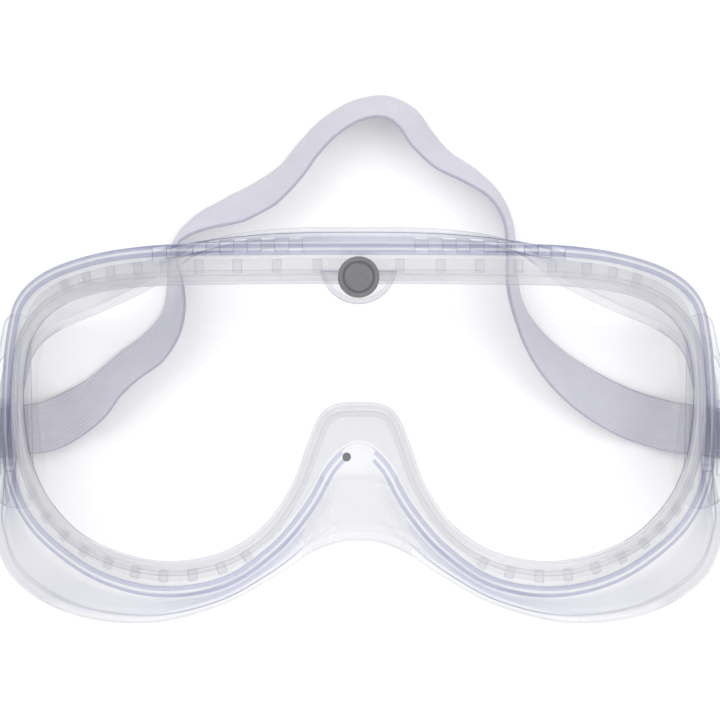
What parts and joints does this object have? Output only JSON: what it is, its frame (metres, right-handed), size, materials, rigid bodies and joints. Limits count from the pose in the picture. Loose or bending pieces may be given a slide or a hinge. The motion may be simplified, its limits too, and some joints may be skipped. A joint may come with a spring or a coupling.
{
  "type": "safety goggles",
  "caption": "Clear soft safety goggles with a curved lens, direct vents, a snap button and an elastic head strap, lying lens up.",
  "frame": {"origin": "on the table plane under the middle of the nose bridge line, midway between the lugs, where the temple edges of the skirt rest", "axes": "+X across the face towards the picture's right, +Y towards the forehead, +Z out of the lens, away from the face"},
  "size_m": [0.188, 0.1255, 0.0551],
  "materials": {
    "clear_pvc": "clear soft PVC, faint lavender tint",
    "clear_lens": "clear polycarbonate",
    "grey_snap": "dark grey satin",
    "white_elastic": "ribbed woven elastic",
    "clear_keeper": "clear hard plastic"
  },
  "bodies": {
    "goggles": {"goggle_rim": "clear_pvc", "skirt_left": "clear_pvc", "skirt_right": "clear_pvc", "lens": "clear_lens", "nose_pin": "grey_snap", "snap_socket": "grey_snap", "elastic_strap": "white_elastic"},
    "snap_button": {"snap_cap": "grey_snap", "snap_post": "grey_snap"},
    "left_keeper": {"strap_keeper_left": "clear_keeper"},
    "right_keeper": {"strap_keeper_right": "clear_keeper"}
  },
  "joints": [
    {"name": "snap_release", "type": "slide", "parent": "goggles", "child": "snap_button", "axis": [0, 0, 1], "range_m": [0, 0.01]},
    {"name": "left_keeper_slide", "type": "slide", "parent": "goggles", "child": "left_keeper", "axis": [0.9903, 0.1392, 0], "range_m": [0, 0.005]},
    {"name": "right_keeper_slide", "type": "slide", "parent": "goggles", "child": "right_keeper", "axis": [-0.9903, 0.1392, 0], "range_m": [0, 0.005]}
  ]
}
